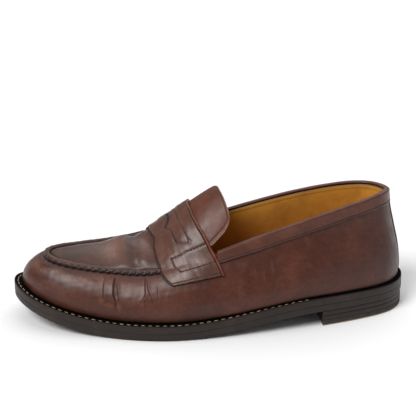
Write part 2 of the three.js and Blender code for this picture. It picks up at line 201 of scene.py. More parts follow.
def soft_peak(x):
    return blurred(lambda shift: peak(x + shift), 1.8, softness=1.2)


def top(u, w, inwards=0.0):
    """The top of the shoe between its two rims: w = 0 at the outer side, w = 1 at the inner side."""
    u, w = paired(u, w)
    a, b = rim(u, inwards), rim(1 - u, inwards)
    middle = (a + b) / 2
    span = np.linalg.norm(a - b, axis=-1)
    crown = np.clip(soft_peak(middle[..., 0]) - middle[..., 2], 0, None) * smooth(span / 30)
    p = a + (b - a) * w[..., None]
    p[..., 2] += crown * (1 - np.abs(2 * w - 1) ** 2.3)
    return p


def normal(surface, a, b, e=1e-4):
    da = surface(a + e, b) - surface(a - e, b)
    db = surface(a, b + e) - surface(a, b - e)
    n = np.cross(db, da)
    return n / np.linalg.norm(n, axis=-1, keepdims=True)


def lifted(surface, a, b, distance):
    a, b = paired(a, b)
    return surface(a, b) + normal(surface, a, b) * np.asarray(distance, float)[..., None]


def seam_row(surface, a, b, distance):
    """A row for stitches: its points over a surface, and the ways they face."""
    return lifted(surface, a, b, distance), normal(surface, a, b)


# The strap's own surface: over the instep from one side wall (q = 0) to the other (q = 1)
STRAP_FOOT, FLANK = 0.6, 0.24


def instep(u, q):
    u, q = paired(u, q)
    climb = (1 - STRAP_FOOT) / FLANK
    outer = side(u, STRAP_FOOT + climb * q)
    inner = side(1 - u, STRAP_FOOT + climb * (1 - q))
    across = top(u, np.clip((q - FLANK) / (1 - 2 * FLANK), 0, 1))
    return np.where((q < FLANK)[..., None], outer, np.where((q > 1 - FLANK)[..., None], inner, across))


def band(u, q):
    """The instep with its corners at the two rims rounded off."""
    return blurred(lambda shift: instep(u, q + shift), 0.028, reach=1.8)


# ---------- meshes ----------

def put(name, data):
    """A new object in the scene."""
    thing = bpy.data.objects.new(name, data)
    bpy.context.scene.collection.objects.link(thing)
    return thing


def new_object(name, points, faces, material, masks=None):
    """An object from points in millimetres. Masks are one number per point, read by its material."""
    mesh = bpy.data.meshes.new(name)
    mesh.from_pydata((np.asarray(points) * 1e-3).tolist(), [], [list(map(int, f)) for f in faces])
    mesh.validate()
    mesh.shade_smooth()
    for label, values in (masks or {}).items():
        layer = mesh.attributes.new(label, "FLOAT", "POINT")
        layer.data.foreach_set("value", np.asarray(values, np.float32).ravel())
    mesh.materials.append(material)
    return put(name, mesh)


def rings_faces(rows, cols, closed):
    """Quads of rows of rings: each ring is closed, and the rows are too when closed is set."""
    i, j = grid(np.arange(rows if closed else rows - 1), np.arange(cols))
    k, l = (i + 1) % rows, (j + 1) % cols
    return np.stack([i * cols + j, i * cols + l, k * cols + l, k * cols + j], -1).reshape(-1, 4)


def edge_faces(rows, cols):
    """Quads of a plate's edge, whose rings go from its underside to its top."""
    return np.roll(rings_faces(rows, cols, False)[:, ::-1], 1, 1).tolist()


def end_faces(row, cols):
    """Quads over a flat ring's end, from its first half to its second."""
    a = np.arange(cols // 2 - 1)
    base = row * cols
    return np.stack([base + a, base + cols - 1 - a, base + cols - 2 - a, base + a + 1], -1)


def outward(points, faces):
    """The faces turned to look out of a closed body."""
    c = points - points.mean(0)
    a, b, c, d = (c[faces[:, k]] for k in range(4))
    volume = np.sum(a * (np.cross(b, c) + np.cross(c, d)))
    return faces if volume > 0 else faces[:, ::-1]


def loft(name, rings, material, closed=False, masks=None):
    """A closed body through rows of rings of points."""
    rings = np.asarray(rings)
    rows, cols = rings.shape[:2]
    faces = rings_faces(rows, cols, closed)
    if not closed:
        faces = np.concatenate([faces, end_faces(0, cols), end_faces(rows - 1, cols)[:, ::-1]])
    points = rings.reshape(-1, 3)
    masks = {k: np.asarray(v).reshape(-1) for k, v in (masks or {}).items()}
    return new_object(name, points, outward(points, faces), material, masks)


def thick_sheet(name, outer, inner, material, keep=None, masks=None):
    """A body between two grids of points, without the cells that keep leaves out."""
    rows, cols = outer.shape[:2]
    if keep is None:
        keep = np.ones((rows - 1, cols - 1), bool)
    under = rows * cols
    number = np.arange(under).reshape(rows, cols)
    a, b, c, d = number[:-1, :-1], number[1:, :-1], number[1:, 1:], number[:-1, 1:]
    cells = np.stack([a, b, c, d], -1)[keep]
    faces = [cells, cells[:, ::-1] + under]
    padded = np.pad(keep, 1)
    for axis, shift, start, end in ((0, 1, a, d), (0, -1, c, b), (1, 1, b, a), (1, -1, d, c)):
        alone = keep & ~np.roll(padded, shift, axis)[1:-1, 1:-1]
        s, e = start[alone], end[alone]
        faces.append(np.stack([s, e, e + under, s + under], -1))
    used, faces = np.unique(np.concatenate(faces), return_inverse=True)
    points = np.concatenate([outer.reshape(-1, 3), inner.reshape(-1, 3)])[used]
    both = {label: np.tile(np.broadcast_to(values, (rows, cols)).ravel(), 2)[used]
            for label, values in (masks or {}).items()}
    return new_object(name, points, outward(points, faces.reshape(-1, 4)), material, both)


def swept(name, path, across, up, material, radii, closed=False, sides=16, masks=None):
    """A bead of oval section along a path. radii are half widths across and up at each point."""
    angle = np.arange(sides) * 2 * math.pi / sides
    radii = np.broadcast_to(np.asarray(radii, float), (len(path), 2))
    rings = (path[:, None] + across[:, None] * (np.cos(angle)[None, :, None] * radii[:, 0, None, None])
             + up[:, None] * (np.sin(angle)[None, :, None] * radii[:, 1, None, None]))
    masks = {k: np.repeat(np.asarray(v)[:, None], sides, 1) for k, v in (masks or {}).items()}
    return loft(name, rings, material, closed, masks)


def along(points):
    d = np.linalg.norm(np.diff(points, axis=0), axis=-1)
    return np.concatenate([[0], np.cumsum(d)])


def sampled(points, s, places):
    return np.stack([np.interp(places, s, points[:, k]) for k in range(points.shape[1])], -1)


STITCH_HEIGHT = 0.75  # of a thread, as a share of its width


def stitches(name, rows, material, pitch, dash, radius, sink, lean=0.0):
    """Separate stitches along rows of (points, normals): short threads whose ends go into the leather."""
    t = np.linspace(-1, 1, 9)
    angle = np.arange(6) * math.pi / 3
    girth = np.sqrt(1 - 0.85 * t**4)[:, None, None] * radius
    height = np.where(np.abs(t) > 0.6, -((np.abs(t) - 0.6) / 0.4) ** 2, 0) * (radius + sink)
    quads = np.concatenate([rings_faces(9, 6, False), end_faces(0, 6), end_faces(8, 6)[:, ::-1]])
    points, faces = [], []
    for path, normals in rows:
        s = along(path)
        count = max(1, int(s[-1] / pitch))
        for k in range(count):
            places = (k + 0.5) * s[-1] / count + t * dash / 2
            p = sampled(path, s, places)
            n = sampled(normals, s, places)
            n /= np.linalg.norm(n, axis=-1, keepdims=True)
            d = p[-1] - p[0]
            d /= np.linalg.norm(d)
            b = np.cross(n, d)
            p = p + n * height[:, None] + b * (lean * t)[:, None]
            ring = (p[:, None] + b[:, None] * (np.cos(angle)[None, :, None] * girth)
                    + n[:, None] * (np.sin(angle)[None, :, None] * STITCH_HEIGHT * girth)).reshape(-1, 3)
            faces.append(outward(ring, quads) + len(points) * len(ring))
            points.append(ring)
    return new_object(name, np.concatenate(points), np.concatenate(faces), material)


def nearest(p, line):
    """How far 2-D points are from a polyline, and the points on it nearest to them."""
    line = np.asarray(line, float)
    best, where = np.full(p.shape[:-1], np.inf), p.copy()
    for a, b in zip(line[:-1], line[1:]):
        ab = b - a
        q = a + np.clip(((p - a) @ ab) / (ab @ ab), 0, 1)[..., None] * ab
        d = np.linalg.norm(p - q, axis=-1)
        where[d < best] = q[d < best]
        best = np.minimum(best, d)
    return best, where


def ripple(p, size, seed):
    """A smooth irregular field of about -1 to 1 with waves about size millimetres long."""
    draw = np.random.default_rng(seed)
    total = 0
    for _ in range(6):
        direction = draw.normal(size=3)
        direction /= np.linalg.norm(direction)
        wave = 2 * math.pi / (size * draw.uniform(0.7, 1.5))
        total = total + np.sin(p @ direction * wave + draw.uniform(0, 2 * math.pi))
    return total / 2.5


# ---------- materials ----------

def linear(colour):
    """A screen colour as a shader's own numbers. A node's output stays as it is."""
    if not isinstance(colour, tuple):
        return colour
    return tuple(((c / 255 + 0.055) / 1.055) ** 2.4 if c > 10 else c / 255 / 12.92 for c in colour) + (1.0,)


class Shader:
    """A short way to write a node material."""

    def __init__(self, name):
        self.material = bpy.data.materials.new(name)
        self.material.use_nodes = True
        self.tree = self.material.node_tree
        self.surface = self.tree.nodes["Principled BSDF"]
        self.place = self.node("TexCoord", {}, "Object")

    def link(self, value, socket):
        if hasattr(value, "is_linked"):
            self.tree.links.new(value, socket)
        else:
            socket.default_value = value

    def node(self, kind, inputs, output=0, **settings):
        """An output of a new node."""
        node = self.tree.nodes.new("ShaderNode" + kind)
        for label, value in settings.items():
            setattr(node, label, value)
        for label, value in inputs.items():
            self.link(value, node.inputs[label])
        return node.outputs[output]

    def noise(self, size, detail=3.0, roughness=0.55, stretch=None):
        """Noise whose features are about size millimetres across."""
        place = self.node("Mapping", {"Scale": stretch, "Vector": self.place}) if stretch else self.place
        inputs = {"Scale": 1000.0 / size, "Detail": detail, "Roughness": roughness, "Vector": place}
        return self.node("TexNoise", inputs, "Fac")

    def cells(self, size):
        return self.node("TexVoronoi", {"Scale": 1000.0 / size, "Vector": self.place}, "Distance")

    def mask(self, name):
        return self.node("Attribute", {}, "Fac", attribute_name=name)

    def height(self):
        return self.node("SeparateXYZ", {0: self.place}, "Z")

    def ramp(self, value, low, high, start=0.0, end=1.0):
        inputs = {"Value": value, "From Min": low, "From Max": high, "To Min": start, "To Max": end}
        return self.node("MapRange", inputs, "Result", interpolation_type="SMOOTHSTEP")

    def maths(self, operation, a, b):
        return self.node("Math", {0: a, 1: b}, operation=operation)

    def mix(self, share, a, b, blend="MIX"):
        return self.node("Mix", {0: share, 6: linear(a), 7: linear(b)}, 2, data_type="RGBA", blend_type=blend)

    def spots(self, colour, other, noise, low, high, share=1.0, blend="MIX"):
        """A colour that turns to another, by a share, where a noise rises from low to high."""
        return self.mix(self.ramp(noise, low, high, 0.0, share), colour, other, blend)

    def bumped(self, height, distance, strength=1.0, under=None):
        inputs = {"Strength": strength, "Distance": distance * 1e-3, "Height": height}
        if under is not None:
            inputs["Normal"] = under
        return self.node("Bump", inputs)

    def set(self, **sockets):
        for label, value in sockets.items():
            self.link(value, self.surface.inputs[label.replace("_", " ")])
        return self.material


def leather(name, base, dark, light, rough=0.38, coat=0.1, blotch=22.0):
    """Polished calf: blotches of dark and light, fine grain, pores and short scratches. Its masks are shade
    for painted shade in folds and gaps, wear for the tan under a scuff, and a light one for painted sheen and
    cut edges."""
    s = Shader(name)
    colour = s.spots(dark, base, s.noise(blotch, 4.0), 0.35, 0.72)
    colour = s.spots(colour, light, s.noise(blotch * 0.6, 5.0), 0.5, 0.8, 0.45)
    colour = s.spots(colour, light, s.noise(2.6, 5.0, 0.65), 0.3, 0.75, 0.4, "SOFT_LIGHT")
    colour = s.spots(colour, dark, s.noise(1.1, 4.0, 0.7), 0.42, 0.72, 0.3)
    worn = s.maths("MULTIPLY", s.mask("wear"), s.ramp(s.noise(2.4, 6.0, 0.8), 0.35, 0.6))
    colour = s.mix(worn, colour, (120, 72, 48))
    # Painted highlight: a light greyish sheen where the wall and the apron ask for it; on the tongue it is
    # the lighter cut edge
    painted_sheen_and_pale_edge = s.maths("MULTIPLY", s.mask("painted_sheen_and_pale_edge"), s.ramp(s.noise(1.6, 5.0, 0.75), 0.3, 0.62, 0.45, 1.15))
    colour = s.mix(painted_sheen_and_pale_edge, colour, (168, 132, 116))
    # Painted shade in folds, gaps and grooves
    colour = s.mix(s.mask("shade"), colour, (22, 12, 9))
    pores = s.bumped(s.cells(0.55), 0.05, 0.6)
    scratches = s.bumped(s.noise(0.8, 3.0, 0.6, (1.0, 0.25, 0.7)), 0.08, 0.5, pores)
    dents = s.bumped(s.noise(7.0, 4.0, 0.6), 0.4, 0.4, scratches)
    roughness = s.ramp(s.noise(9.0, 4.0, 0.6), 0.25, 0.8, rough - 0.07, rough + 0.1)
    roughness = s.maths("ADD", roughness, s.maths("MULTIPLY", s.mask("shade"), 0.25))
    return s.set(Base_Color=colour, Roughness=roughness, Normal=dents, Coat_Weight=coat, Coat_Roughness=0.32,
                 Specular_IOR_Level=0.3)


def plain(name, base, other, rough, size, metal=0.0, bump=0.1, stretch=None):
    """A matt or metal material with mottled colour, uneven gloss and a fine surface."""
    s = Shader(name)
    field = s.noise(size, 5.0, 0.65, stretch)
    colour = s.spots(s.spots(base, other, field, 0.3, 0.72), other, s.noise(size * 0.2), 0.45, 0.8, 0.35)
    return s.set(Base_Color=colour, Roughness=s.ramp(field, 0.2, 0.8, rough - 0.08, rough + 0.1),
                 Normal=s.bumped(s.noise(size * 0.12, 4.0), bump, 0.6), Metallic=metal)


upper_leather = leather("upper_leather", (88, 47, 33), (70, 35, 24), (114, 68, 50), blotch=30.0)
apron_leather = leather("apron_leather", (84, 50, 38), (70, 40, 30), (100, 64, 50), rough=0.34, coat=0.16)
roll_leather = leather("roll_leather", (70, 38, 28), (50, 26, 19), (92, 54, 40), blotch=12.0)
strap_leather = leather("strap_leather", (94, 61, 49), (80, 48, 37), (116, 78, 64), rough=0.33, coat=0.18)
tongue_leather = leather("tongue_leather", (100, 57, 41), (86, 47, 33), (118, 72, 55), rough=0.42, coat=0.06)
collar_leather = leather("collar_leather", (94, 54, 40), (78, 42, 30), (116, 70, 54))
fold_leather = leather("fold_leather", (122, 66, 42), (92, 48, 31), (150, 90, 62), blotch=10.0)
topline_leather = leather("topline_leather", (94, 50, 34), (74, 38, 26), (120, 70, 50), blotch=14.0)


def lining_material(name, base, dark, low, high):
    """Lining leather with painted shade, darker towards the foot bed, from one height down to another."""
    s = Shader(name)
    colour = s.spots(base, dark, s.noise(16.0, 5.0, 0.6), 0.38, 0.75, 0.55)
    # Painted shade deeper in the shoe
    colour = s.mix(s.ramp(s.height(), low * 1e-3, high * 1e-3, 0.7, 0.0), colour, dark)
    colour = s.mix(s.mask("shade"), colour, (40, 20, 6))
    return s.set(Base_Color=colour, Roughness=s.ramp(s.noise(8.0), 0.3, 0.7, 0.42, 0.6), Sheen_Weight=0.15,
                 Normal=s.bumped(s.noise(0.9, 4.0, 0.7), 0.05, 0.5), Specular_IOR_Level=0.35)


lining_leather = lining_material("lining_leather", (214, 150, 52), (150, 96, 26), 30, 80)
under_leather = lining_material("under_leather", (84, 66, 34), (48, 36, 18), 40, 100)
sock_leather = lining_material("sock_leather", (188, 120, 40), (128, 72, 20), 10, 22)


def sole_material():
    """Edges inked dark and waxed, with fine upright strokes from the trimming."""
    s = Shader("sole_leather")
    strokes = s.noise(1.1, 4.0, 0.7, (1.0, 1.0, 0.15))
    colour = s.spots((26, 16, 12), (38, 26, 20), strokes, 0.35, 0.7)
    colour = s.spots(colour, (52, 38, 31), s.noise(14.0, 4.0), 0.45, 0.75, 0.5)
    colour = s.mix(s.mask("shade"), colour, (6, 5, 4))
    dull_gloss_and_heel_shade = s.maths("MULTIPLY", s.mask("shade"), 0.35)
    roughness = s.maths("ADD", s.ramp(strokes, 0.3, 0.7, 0.42, 0.62), dull_gloss_and_heel_shade)
    return s.set(Base_Color=colour, Roughness=roughness, Specular_IOR_Level=s.maths("SUBTRACT", 0.4, dull_gloss_and_heel_shade),
                 Normal=s.bumped(strokes, 0.12, 0.4))


def rubber_material():
    """The heel's top piece: black rubber with a thin tan line at its lowest edge."""
    s = Shader("heel_rubber")
    colour = s.spots((34, 29, 27), (52, 45, 42), s.noise(5.0, 5.0), 0.35, 0.7)
    colour = s.mix(s.ramp(s.height(), 0.0005, 0.0009, 1.0, 0.0), colour, (150, 126, 104))
    return s.set(Base_Color=colour, Roughness=0.7, Normal=s.bumped(s.noise(0.7, 4.0), 0.08, 0.6))


sole_leather = sole_material()
heel_rubber = rubber_material()
pale_thread = plain("welt_thread", (178, 158, 128), (128, 104, 74), 0.75, 9.0)
dark_thread = plain("dark_thread", (17, 10, 8), (30, 19, 16), 0.65, 2.0)
seam_thread = plain("seam_thread", (112, 92, 84), (78, 60, 52), 0.5, 2.5)
# Painted shadow for dark beads laid in gaps and grooves; on the strap's edges it is partly edge ink
gap_shadow_and_ink = plain("gap_shadow_and_ink", (12, 7, 6), (20, 12, 10), 0.85, 2.0)
board = plain("stiffener_board", (196, 170, 128), (168, 140, 98), 0.85, 6.0)
raw_leather = plain("insole_leather", (202, 168, 120), (172, 134, 86), 0.8, 9.0)
canvas = plain("rib_canvas", (206, 184, 138), (176, 152, 106), 0.9, 1.2, bump=0.2)
cork = plain("cork", (172, 128, 80), (112, 76, 42), 0.9, 2.2, bump=0.3)
steel = plain("shank_steel", (150, 153, 158), (108, 110, 116), 0.35, 7.0, 1.0, 0.03, (0.1, 1.0, 1.0))
brass = plain("nail_brass", (186, 150, 92), (128, 98, 56), 0.4, 1.5, 1.0, 0.05)


def finish_piece(piece, slot, *nodes):
    """Every piece rides on the shoe and stands for its CAD nodes, whose parts are hidden. Its slot is not
    used.
    """
    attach(piece, "root")
    if nodes:
        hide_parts(*nodes)
    return piece


# ---------- camera, before the pieces ----------

CAMERA_TURN = (-6.34, 19.52, -0.62)  # azimuth, elevation and roll, in degrees
CAMERA_TARGET, CAMERA_DISTANCE = (-0.0015, 0, 0.0794), 0.9188  # in metres
SENSOR_WIDTH, LENS = 36.0, 109.021154  # in millimetres


def aim_camera():
    azimuth, elevation, roll = (math.radians(a) for a in CAMERA_TURN)
    back = np.array([math.sin(azimuth) * math.cos(elevation), -math.cos(azimuth) * math.cos(elevation),
                     math.sin(elevation)])
    right = np.cross([0, 0, 1], back)
    right /= np.linalg.norm(right)
    up = np.cross(back, right)
    axes = [right * math.cos(roll) + up * math.sin(roll), up * math.cos(roll) - right * math.sin(roll), back]
    data = bpy.data.cameras.new("camera")
    data.sensor_width, data.lens = SENSOR_WIDTH, LENS
    data.clip_start, data.clip_end = 0.01, 20
    camera = put("camera", data)
    camera.rotation_mode = "QUATERNION"
    camera.rotation_quaternion = Matrix(np.stack(axes, 1).tolist()).to_quaternion()
    camera.location = Vector(CAMERA_TARGET) + Vector(back) * CAMERA_DISTANCE
    bpy.context.scene.camera = camera


aim_camera()

# ---------- sole and heel ----------

AROUND = np.arange(1000) / 1000


def crossing(behind, ahead, x):
    """Where the outline crosses a place along the shoe."""
    for _ in range(40):
        middle = (behind + ahead) / 2
        if outline(middle)[0] > x:
            behind = middle
        else:
            ahead = middle
    return ahead


BREAST_OUTER, BREAST_INNER = crossing(0.05, 0.4, BREAST), crossing(0.95, 0.6, BREAST)


def filled(ring, count, height):
    """Points over the inside of a ring whose places i and -i face each other, at a height over the sole."""
    w = np.linspace(0, 1, count + 1)[1:-1, None]
    rows = []
    for i in range(1, len(ring) // 2):
        a, b = ring[i], ring[-i]
        p = a + (b - a) * w
        p[:, 2] = sole_bottom(p[:, 0]) + height
        rows.append(p)
    return np.concatenate(rows)


def fill_faces(base, n, first, count, flip):
    """Faces over the inside of the ring that starts at base, by its filling that starts at first."""
    half = n // 2

    def at(i, k):
        if k == 0:
            return base + i
        if k == count:
            return base + (n - i) % n
        return first + (i - 1) * (count - 1) + k - 1

    faces = []
    for i in range(half):
        for k in range(count):
            if i == 0:
                face = [base, at(1, k + 1), at(1, k)]
            elif i == half - 1:
                face = [at(i, k), at(i, k + 1), base + half]
            else:
                face = [at(i, k), at(i, k + 1), at(i + 1, k + 1), at(i + 1, k)]
            faces.append(face[::-1] if flip else face)
    return faces


def disc_body(name, profile, material, low, high, shade, point=over, count=24):
    """A plate: rings of (inset, height) from the underside round the edge to the top, filled across."""
    rings = np.stack([point(AROUND, inset, height) for inset, height in profile])
    n, last = len(AROUND), len(profile) - 1
    points, faces = rings.reshape(-1, 3), edge_faces(len(profile), n)
    for row, height, flip in ((0, low, True), (last, high, False)):
        faces += fill_faces(row * n, n, len(points), count, flip)
        points = np.concatenate([points, filled(rings[row], count, height)])
    shade = np.pad(np.repeat(np.array(shade, float), n), (0, len(points) - rings.size // 3))
    return new_object(name, points, faces, material, {"shade": shade})


SOLE_TOP = OUTSOLE + 0.1
sole_edge = [(6, 0), (0.6, 0), (0.2, 0.075), (0.05, 0.3), (0, 0.65), (0, SOLE_TOP / 2), (0, OUTSOLE - 0.25),
             (0.02, OUTSOLE - 0.05), (0.12, OUTSOLE + 0.08), (0.5, SOLE_TOP), (6, SOLE_TOP)]
outsole = disc_body("outsole_leather", sole_edge, sole_leather, 0, SOLE_TOP,
                    [0.25, 0.2, 0, 0, 0, 0, 0, 0.1, 0.4, 0.9, 1])
finish_piece(outsole, "sole_leather", "outsole")

SEAM = 0.42  # how far the seam lies between the sole's edge and the upper
JOINT = 0.0001  # between the welt and the rand, as a share of the outline


def edge_strip(name, node, start, end, count, groove):
    """The welt or the rand round the heel, with a groove for the welt's seam."""
    u = np.linspace(start, end, count)
    foot = foot_inset(u)
    seam = SEAM * foot
    low, high = OUTSOLE + GAP - 0.2, SOLE
    profile = [(WELT_WIDTH, low), (0.3, low), (0.08, low + 0.05), (0.01, low + 0.2), (0, low + 1.6),
               (0, high - 1.6), (0.05, high - 0.7), (0.3, high - 0.22), (0.8, high - 0.02),
               (seam - 1.0, high), (seam - 0.55, high - 0.35 * groove), (seam, high - 0.8 * groove),
               (seam + 0.55, high - 0.35 * groove), (seam + 1.0, high), (foot - 0.6, high - 0.05),
               (foot + 0.6, high - 0.5), (WELT_WIDTH, high - 0.5)]
    rings = np.stack([over(u, inset, height) for inset, height in profile], 1)
    shade = np.tile([0, 0.3, 0.1, 0, 0, 0, 0.1, 0.4, 0.8, 1, 1, 1, 1, 1, 1, 1, 1], (count, 1))
    finish_piece(loft(name, rings, sole_leather, masks={"shade": shade}), "sole_leather", node)


edge_strip("welt_strip", "welt", BREAST_OUTER + JOINT, BREAST_INNER - JOINT, 820, 1.0)
edge_strip("rand_strip", "heel_rand", BREAST_INNER - 1 + JOINT, BREAST_OUTER - JOINT, 260, 0.3)

u = np.linspace(BREAST_OUTER + 0.012, BREAST_INNER - 0.012, 900)
welt_row = over(u, SEAM * foot_inset(u), SOLE - 0.25), upright(u)
welt_seam = stitches("welt_seam", [welt_row], pale_thread, pitch=5.2, dash=3.3, radius=0.38, sink=0.5)
finish_piece(welt_seam, "welt_thread", "welt_thread")


def heel_body(name, low, high, material, inset, soft=0.3, dark=0.0):
    """One layer of the heel: the outline round the back, closed by a straight breast."""
    u = np.linspace(BREAST_INNER - 1, BREAST_OUTER, 241)
    thick = high - low
    levels = [(0, 4), (0, soft), (0.3 * soft, 0.25 * soft), (soft, 0), (thick / 2, 0), (thick - soft, 0),
              (thick - 0.3 * soft, 0.25 * soft), (thick, soft), (thick, 4)]
    rings = []
    for height, deep in levels:
        p = plan(u, np.full_like(u, inset + deep))
        front = BREAST + deep
        p[:, 0] = np.maximum(p[:, 0], front)
        a, b = p[-1].copy(), p[0].copy()
        a[0] = b[0] = front
        chord = a + (b - a) * np.linspace(0, 1, 61)[:-1, None]
        ring = np.concatenate([p[:-1], chord])
        rings.append(raised(ring, np.full(len(ring), low + height)))
    rings = np.array(rings)
    last, n = len(levels) - 1, rings.shape[1]
    points = np.concatenate([rings.reshape(-1, 3), rings[[0, last]].mean(1)])
    faces = edge_faces(last + 1, n)
    for row, centre, turn in ((0, -2, -1), (last, -1, 1)):
        faces += [[row * n + j, row * n + (j + 1) % n, len(points) + centre][::turn] for j in range(n)]
    shade = np.pad(np.repeat([1, 0.9, 0.5, 0, 0, 0, 0.5, 0.9, 1], n) * dark, (0, 2))
    return new_object(name, points, faces, material, {"shade": shade})


top_piece = heel_body("top_piece", 0, TOP_PIECE + 0.1, heel_rubber, 0.4)
finish_piece(top_piece, "heel_rubber", "heel_top_piece")
lift_space = (HEEL - GAP - TOP_PIECE) / 2
for k in range(2):
    low = TOP_PIECE + GAP - 0.15 + k * lift_space
    high, inset = low + lift_space - 0.1, 0.45 + 0.1 * k
    layer = heel_body(f"heel_layer_{k + 1}", low, high, sole_leather, inset, soft=0.25, dark=0.8)
    finish_piece(layer, "sole_leather", f"heel_lift_{k + 1}")

# ---------- upper ----------

def rise(u):
    return station(RIM_HEIGHT, u) - sole_bottom(outline(u)[..., 0]) - SOLE


def wall_scale(u, v):
    """Millimetres per unit of u and of v on the wall."""
    e = 1e-3
    du = np.linalg.norm(side(u + e, v) - side(u - e, v), axis=-1) / (2 * e)
    dv = np.linalg.norm(side(u, v + e) - side(u, v - e), axis=-1) / (2 * e)
    return du, dv


# Worn folds of the wall beside the ball, as (places (u, v), depth, half width)
FOLDS = [
    ([(0.3802, 0.86), (0.3797, 0.68), (0.3790, 0.50), (0.3777, 0.33)], 0.4, 0.65),
    ([(0.3703, 0.86), (0.3700, 0.70), (0.3686, 0.47), (0.3656, 0.34), (0.3652, 0.20)], 0.95, 0.8),
    ([(0.3662, 0.66), (0.3648, 0.58), (0.3630, 0.42), (0.3615, 0.30)], 0.35, 0.5),
    ([(0.3372, 0.88), (0.3360, 0.70), (0.3345, 0.52), (0.3385, 0.34)], 0.5, 0.6),
    ([(0.3352, 0.82), (0.3318, 0.60), (0.3285, 0.46), (0.3250, 0.33)], 0.45, 0.55),
    ([(0.3352, 0.50), (0.3346, 0.36), (0.3342, 0.22)], 0.35, 0.6),
    ([(0.3215, 0.62), (0.3205, 0.45), (0.3220, 0.32)], 0.2, 0.7),
    ([(0.3090, 0.48), (0.3085, 0.36), (0.3100, 0.26)], 0.16, 0.7),
]
# Rubbed places of the wall, as (u, v, half width, half height)
SCUFFS = [(0.3795, 0.33, 2.2, 3.0), (0.3720, 0.27, 5.5, 1.6), (0.3625, 0.28, 2.0, 3.2),
          (0.3660, 0.36, 1.2, 3.0), (0.222, 0.55, 0.9, 5.0), (0.229, 0.47, 0.7, 4.0), (0.236, 0.52, 0.5, 4.0)]


def worn_wall(u, v):
    """How far the wall moves in or out at its folds, how much shade is painted into them, and how rubbed it
    is there.
    """
    du, dv = wall_scale(u, v)
    move, shade, wear = (np.zeros(u.shape) for _ in range(3))
    for here, share in ((u, 1.0), (1 - u, 0.7)):
        for line, depth, width in FOLDS:
            line = np.array(line)
            middle = line[len(line) // 2]
            i = np.unravel_index(np.argmin(np.abs(here - middle[0]) + np.abs(v - middle[1])), u.shape)
            scale = np.array([du[i], dv[i]])
            near = (np.abs(here - middle[0]) * scale[0]) < 14
            p = np.stack([here, v], -1)[near] * scale
            d = nearest(p, line * scale)[0]
            lengthwise = (p[:, 1] - line[-1, 1] * scale[1]) / ((line[0, 1] - line[-1, 1]) * scale[1])
            fade = smooth((lengthwise + 0.1) / 0.3) * smooth((1.15 - lengthwise) / 0.25)
            size = depth * share
            move[near] += fade * size * (0.4 * bump(d / (3.6 * width)) - 0.8 * bump(d / (0.6 * width)))
            shade[near] = strongest(shade[near], fade * min(0.9, 1.2 * size) * bump(d / (0.34 * width)),
                                    0.25 * fade * min(1.0, size) * bump(d / (1.5 * width)))
    for a, b, across, high in SCUFFS:
        wear = np.maximum(wear, 0.5 * bump((u - a) * du / across) * bump((v - b) * dv / high))
    return move, shade, wear


# The seam round the apron, from the outer side round the toe to the inner side
SEAM_PITCH = 5.2
ROLL_START, ROLL_STOP = 0.3135, 0.7005
ROLL_U = np.linspace(ROLL_START, ROLL_STOP, 1400)
ROLL_S = along(rim(ROLL_U))


def seam_phase(u):
    """Stitches counted along the apron's seam."""
    return np.interp(u, ROLL_U, ROLL_S) / SEAM_PITCH


def upper_wall():
    spans = ((0.0, 0.3, 380), (0.3, 0.39, 340), (0.39, 0.61, 320), (0.61, 0.7, 240), (0.7, 1.0, 380))
    around = np.concatenate([np.linspace(a, b, n, endpoint=False) for a, b, n in spans])
    u, v = grid(around, np.linspace(0, 1, 100))
    move, shade, wear = worn_wall(u, v)
    p = side(u, v)
    move += 0.22 * ripple(p, 26.0, 3) * smooth(v / 0.2) * smooth((1 - v) / 0.15)
    move += 0.05 * ripple(p, 7.0, 5) * smooth(v / 0.2) * smooth((1 - v) / 0.1)
    _, dv = wall_scale(u, v)
    from_seam = (1 - v) * dv
    ahead = smooth(np.minimum(u - ROLL_START + 0.0035, ROLL_STOP + 0.0035 - u) / 0.01)
    move -= ahead * bump(from_seam / 2.2) * (0.55 + 0.25 * np.cos(2 * math.pi * seam_phase(u)))
    shade = strongest(shade, ahead * 0.95 * bump(from_seam / 1.5), 0.85 * bump(v * dv / 1.1),
                      0.25 * ahead * bump((from_seam - 2) / 4.5))
    outer = p + normal(side, u, v) * move[..., None]
    inner = lifted(side, *grid(around, np.linspace(0.06, 1, 14)), -WALL)
    margin = [over(u[:, :1], foot_inset(u[:, :1]) + deep + WALL, SOLE + GAP + thick)
              for deep, thick in ((0, WALL), (10, WALL), (10, 0))]
    rings = np.concatenate([outer, inner[:, ::-1], *margin], 1)
    # Painted highlight: a broken light sheen below the apron's seam and on the toe, kept out of the shaded
    # places
    cloud = smooth(0.5 + 0.5 * ripple(p, 9.0, 91)) * (0.6 + 0.4 * smooth(0.5 + 0.6 * ripple(p, 2.6, 92)))
    nearby = 0.6 + 0.4 * bump((u - 0.41) / 0.05) - 0.25 * bump((u - 0.355) / 0.02)
    shoulder = 0.26 * nearby * ahead * bump((from_seam - 8.0) / 5.5) * (0.2 + 0.8 * cloud)
    toe_highlight = 0.1 * bump((u - 0.445) / 0.05) * bump((v - 0.45) / 0.3) * cloud
    painted_sheen_and_pale_edge = (shoulder + toe_highlight) * (1 - np.clip(2 * shade, 0, 1))
    # Painted shade: the wall is darker round the back of the heel
    dull_gloss_and_heel_shade = 0.3 * bump((u - 0.03) / 0.06) * smooth(v / 0.3) + 0.3 * bump((u - 1.0) / 0.06)
    masks = {"shade": np.maximum(shade, dull_gloss_and_heel_shade), "wear": wear, "painted_sheen_and_pale_edge": painted_sheen_and_pale_edge}
    masks = {label: np.pad(mask, ((0, 0), (0, rings.shape[1] - 100))) for label, mask in masks.items()}
    return loft("upper_leather_wall", rings, upper_leather, True, masks)


finish_piece(upper_wall(), "upper_leather", "upper_wall")


